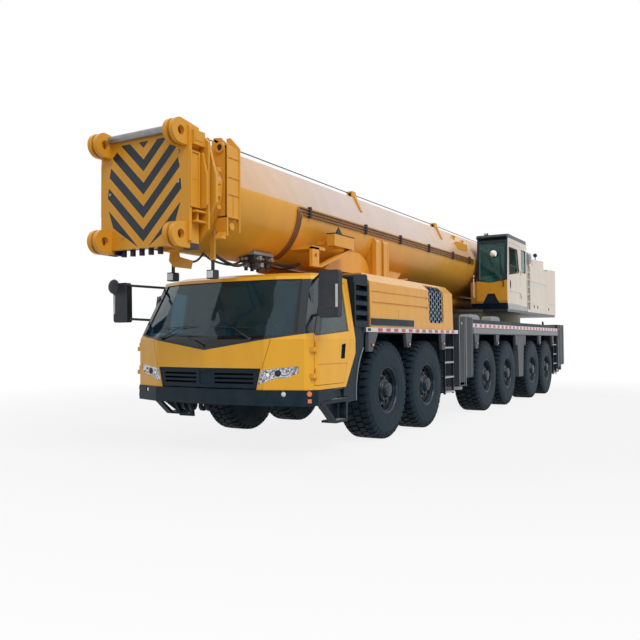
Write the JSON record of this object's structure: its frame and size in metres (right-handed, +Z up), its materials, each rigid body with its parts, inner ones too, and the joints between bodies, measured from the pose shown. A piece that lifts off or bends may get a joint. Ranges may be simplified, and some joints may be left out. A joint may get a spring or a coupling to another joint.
{
  "type": "mobile crane",
  "caption": "Heavy truck crane: road cab and box frame on steered axles, sliding outriggers, slewing upper with operator cab, and a telescopic boom raised by a cylinder.",
  "frame": {"origin": "on the ground, at the middle of the overall length and width", "axes": "+X towards the front (boom head), +Y to the vehicle's left, +Z up"},
  "size_m": [16.4299, 3.8, 4.0099],
  "materials": {
    "amber_paint": "gloss",
    "charcoal_paint": "satin",
    "grey_paint": "satin",
    "black_plastic": "matte",
    "tinted_glass": "gloss",
    "lamp_silver": "gloss",
    "engine_iron": "rough",
    "ring_steel": "satin",
    "jack_steel": "satin",
    "tyre_rubber": "matte",
    "cream_paint": "gloss",
    "rod_chrome": "polished"
  },
  "bodies": {
    "carrier": {"chassis_frame": "charcoal_paint", "outrigger_boxes": "grey_paint", "deck": "grey_paint", "axles": "charcoal_paint", "cab_shell": "amber_paint", "cab_glass": "tinted_glass", "cab_interior": "black_plastic", "front_bumper": "charcoal_paint", "headlamps": "lamp_silver", "mirrors": "black_plastic", "grilles": "charcoal_paint", "engine_hood": "amber_paint", "engine_block": "engine_iron", "ladders": "grey_paint", "slewing_ring": "ring_steel"},
    "door_left": {"cab_door_left": "amber_paint", "door_glass_left": "tinted_glass"},
    "door_right": {"cab_door_right": "amber_paint", "door_glass_right": "tinted_glass"},
    "beam_front_left": {"beam_front_left": "grey_paint"},
    "jack_front_left": {"jack_front_left": "jack_steel"},
    "beam_front_right": {"beam_front_right": "grey_paint"},
    "jack_front_right": {"jack_front_right": "jack_steel"},
    "beam_rear_left": {"beam_rear_left": "grey_paint"},
    "jack_rear_left": {"jack_rear_left": "jack_steel"},
    "beam_rear_right": {"beam_rear_right": "grey_paint"},
    "jack_rear_right": {"jack_rear_right": "jack_steel"},
    "wheel_1_left": {"wheel_1_left": "tyre_rubber"},
    "knuckle_1_left": {"knuckle_1_left": "charcoal_paint"},
    "wheel_1_right": {"wheel_1_right": "tyre_rubber"},
    "knuckle_1_right": {"knuckle_1_right": "charcoal_paint"},
    "wheel_2_left": {"wheel_2_left": "tyre_rubber"},
    "knuckle_2_left": {"knuckle_2_left": "charcoal_paint"},
    "wheel_2_right": {"wheel_2_right": "tyre_rubber"},
    "knuckle_2_right": {"knuckle_2_right": "charcoal_paint"},
    "wheel_3_left": {"wheel_3_left": "tyre_rubber"},
    "wheel_3_right": {"wheel_3_right": "tyre_rubber"},
    "wheel_4_left": {"wheel_4_left": "tyre_rubber"},
    "wheel_4_right": {"wheel_4_right": "tyre_rubber"},
    "wheel_5_left": {"wheel_5_left": "tyre_rubber"},
    "knuckle_5_left": {"knuckle_5_left": "charcoal_paint"},
    "wheel_5_right": {"wheel_5_right": "tyre_rubber"},
    "knuckle_5_right": {"knuckle_5_right": "charcoal_paint"},
    "wheel_6_left": {"wheel_6_left": "tyre_rubber"},
    "knuckle_6_left": {"knuckle_6_left": "charcoal_paint"},
    "wheel_6_right": {"wheel_6_right": "tyre_rubber"},
    "knuckle_6_right": {"knuckle_6_right": "charcoal_paint"},
    "superstructure": {"turntable": "amber_paint", "operator_cab": "cream_paint", "operator_glass": "tinted_glass", "machinery_housing": "cream_paint", "winch": "jack_steel"},
    "op_door": {"operator_door": "cream_paint"},
    "boom": {"boom_base": "amber_paint", "boom_fittings": "black_plastic"},
    "boom_section_2": {"boom_section_2": "amber_paint"},
    "boom_section_3": {"boom_section_3": "amber_paint"},
    "boom_head": {"boom_head": "amber_paint"},
    "lift_barrel": {"lift_barrel": "amber_paint"},
    "lift_rod": {"lift_rod": "rod_chrome"}
  },
  "joints": [
    {"name": "cab_door_left_swing", "type": "hinge", "parent": "carrier", "child": "door_left", "pos_m": [6.483, 1.495, 1.2], "axis": [0, 0, -1], "range_deg": [0, 60]},
    {"name": "cab_door_right_swing", "type": "hinge", "parent": "carrier", "child": "door_right", "pos_m": [6.483, -1.495, 1.2], "axis": [0, 0, 1], "range_deg": [0, 60]},
    {"name": "beam_front_left_slide", "type": "slide", "parent": "carrier", "child": "beam_front_left", "axis": [0, 1, 0], "range_m": [0, 2.1]},
    {"name": "jack_front_left_slide", "type": "slide", "parent": "beam_front_left", "child": "jack_front_left", "axis": [0, 0, -1], "range_m": [0, 0.65]},
    {"name": "beam_front_right_slide", "type": "slide", "parent": "carrier", "child": "beam_front_right", "axis": [0, -1, 0], "range_m": [0, 2.1]},
    {"name": "jack_front_right_slide", "type": "slide", "parent": "beam_front_right", "child": "jack_front_right", "axis": [0, 0, -1], "range_m": [0, 0.65]},
    {"name": "beam_rear_left_slide", "type": "slide", "parent": "carrier", "child": "beam_rear_left", "axis": [0, 1, 0], "range_m": [0, 2.1]},
    {"name": "jack_rear_left_slide", "type": "slide", "parent": "beam_rear_left", "child": "jack_rear_left", "axis": [0, 0, -1], "range_m": [0, 0.65]},
    {"name": "beam_rear_right_slide", "type": "slide", "parent": "carrier", "child": "beam_rear_right", "axis": [0, -1, 0], "range_m": [0, 2.1]},
    {"name": "jack_rear_right_slide", "type": "slide", "parent": "beam_rear_right", "child": "jack_rear_right", "axis": [0, 0, -1], "range_m": [0, 0.65]},
    {"name": "steer_1_left", "type": "hinge", "parent": "carrier", "child": "knuckle_1_left", "pos_m": [4.355, 0.9, 0.7375], "axis": [0, 0, 1], "range_deg": [-30, 30]},
    {"name": "roll_1_left", "type": "hinge", "parent": "knuckle_1_left", "child": "wheel_1_left", "pos_m": [4.355, 1.24, 0.7375], "axis": [0, 1, 0], "continuous": true},
    {"name": "steer_1_right", "type": "hinge", "parent": "carrier", "child": "knuckle_1_right", "pos_m": [4.355, -0.9, 0.7375], "axis": [0, 0, 1], "range_deg": [-30, 30]},
    {"name": "roll_1_right", "type": "hinge", "parent": "knuckle_1_right", "child": "wheel_1_right", "pos_m": [4.355, -1.24, 0.7375], "axis": [0, 1, 0], "continuous": true},
    {"name": "steer_2_left", "type": "hinge", "parent": "carrier", "child": "knuckle_2_left", "pos_m": [2.78, 0.9, 0.7375], "axis": [0, 0, 1], "range_deg": [-23.9, 23.9]},
    {"name": "roll_2_left", "type": "hinge", "parent": "knuckle_2_left", "child": "wheel_2_left", "pos_m": [2.78, 1.24, 0.7375], "axis": [0, 1, 0], "continuous": true},
    {"name": "steer_2_right", "type": "hinge", "parent": "carrier", "child": "knuckle_2_right", "pos_m": [2.78, -0.9, 0.7375], "axis": [0, 0, 1], "range_deg": [-23.9, 23.9]},
    {"name": "roll_2_right", "type": "hinge", "parent": "knuckle_2_right", "child": "wheel_2_right", "pos_m": [2.78, -1.24, 0.7375], "axis": [0, 1, 0], "continuous": true},
    {"name": "roll_3_left", "type": "hinge", "parent": "carrier", "child": "wheel_3_left", "pos_m": [-0.555, 1.24, 0.7375], "axis": [0, 1, 0], "continuous": true},
    {"name": "roll_3_right", "type": "hinge", "parent": "carrier", "child": "wheel_3_right", "pos_m": [-0.555, -1.24, 0.7375], "axis": [0, 1, 0], "continuous": true},
    {"name": "roll_4_left", "type": "hinge", "parent": "carrier", "child": "wheel_4_left", "pos_m": [-2.13, 1.24, 0.7375], "axis": [0, 1, 0], "continuous": true},
    {"name": "roll_4_right", "type": "hinge", "parent": "carrier", "child": "wheel_4_right", "pos_m": [-2.13, -1.24, 0.7375], "axis": [0, 1, 0], "continuous": true},
    {"name": "steer_5_left", "type": "hinge", "parent": "carrier", "child": "knuckle_5_left", "pos_m": [-4.43, 0.9, 0.7375], "axis": [0, 0, 1], "range_deg": [-18.5, 18.5]},
    {"name": "roll_5_left", "type": "hinge", "parent": "knuckle_5_left", "child": "wheel_5_left", "pos_m": [-4.43, 1.24, 0.7375], "axis": [0, 1, 0], "continuous": true},
    {"name": "steer_5_right", "type": "hinge", "parent": "carrier", "child": "knuckle_5_right", "pos_m": [-4.43, -0.9, 0.7375], "axis": [0, 0, 1], "range_deg": [-18.5, 18.5]},
    {"name": "roll_5_right", "type": "hinge", "parent": "knuckle_5_right", "child": "wheel_5_right", "pos_m": [-4.43, -1.24, 0.7375], "axis": [0, 1, 0], "continuous": true},
    {"name": "steer_6_left", "type": "hinge", "parent": "carrier", "child": "knuckle_6_left", "pos_m": [-6.005, 0.9, 0.7375], "axis": [0, 0, 1], "range_deg": [-24.5, 24.5]},
    {"name": "roll_6_left", "type": "hinge", "parent": "knuckle_6_left", "child": "wheel_6_left", "pos_m": [-6.005, 1.24, 0.7375], "axis": [0, 1, 0], "continuous": true},
    {"name": "steer_6_right", "type": "hinge", "parent": "carrier", "child": "knuckle_6_right", "pos_m": [-6.005, -0.9, 0.7375], "axis": [0, 0, 1], "range_deg": [-24.5, 24.5]},
    {"name": "roll_6_right", "type": "hinge", "parent": "knuckle_6_right", "child": "wheel_6_right", "pos_m": [-6.005, -1.24, 0.7375], "axis": [0, 1, 0], "continuous": true},
    {"name": "slew", "type": "hinge", "parent": "carrier", "child": "superstructure", "pos_m": [-3.28, 0, 2.14], "axis": [0, 0, 1], "range_deg": [-180, 180]},
    {"name": "operator_door_swing", "type": "hinge", "parent": "superstructure", "child": "op_door", "pos_m": [-3.338, 1.514, 3], "axis": [0, 0, 1], "range_deg": [0, 80]},
    {"name": "boom_lift", "type": "hinge", "parent": "superstructure", "child": "boom", "pos_m": [-6.245, 0, 3.1], "axis": [0, -1, 0], "range_deg": [0, 82]},
    {"name": "lift_cylinder_swing", "type": "hinge", "parent": "superstructure", "child": "lift_barrel", "pos_m": [-4.645, 0, 2.42], "axis": [0, -1, 0], "range_deg": [0, 89.85]},
    {"name": "lift_rod_slide", "type": "slide", "parent": "lift_barrel", "child": "lift_rod", "axis": [1, 0, 0], "range_m": [0, 2.124]},
    {"name": "telescope", "type": "slide", "parent": "boom", "child": "boom_section_2", "axis": [1, 0, 0], "range_m": [0, 8.5]},
    {"name": "telescope_3", "type": "slide", "parent": "boom_section_2", "child": "boom_section_3", "axis": [1, 0, 0], "range_m": [0, 8.6]},
    {"name": "telescope_4", "type": "slide", "parent": "boom_section_3", "child": "boom_head", "axis": [1, 0, 0], "range_m": [0, 8.6]}
  ],
  "couplings": [
    {"joint": "steer_1_right", "follows": "steer_1_left", "ratio": 1},
    {"joint": "steer_2_left", "follows": "steer_1_left", "ratio": 0.78},
    {"joint": "steer_2_right", "follows": "steer_1_left", "ratio": 0.78},
    {"joint": "steer_5_left", "follows": "steer_1_left", "ratio": -0.6},
    {"joint": "steer_5_right", "follows": "steer_1_left", "ratio": -0.6},
    {"joint": "steer_6_left", "follows": "steer_1_left", "ratio": -0.8},
    {"joint": "steer_6_right", "follows": "steer_1_left", "ratio": -0.8},
    {"joint": "lift_cylinder_swing", "follows": "boom_lift", "ratio": 1.0884},
    {"joint": "lift_rod_slide", "follows": "boom_lift", "m_per_rad": 1.4771},
    {"joint": "telescope_3", "follows": "telescope", "ratio": 1},
    {"joint": "telescope_4", "follows": "telescope", "ratio": 1}
  ]
}
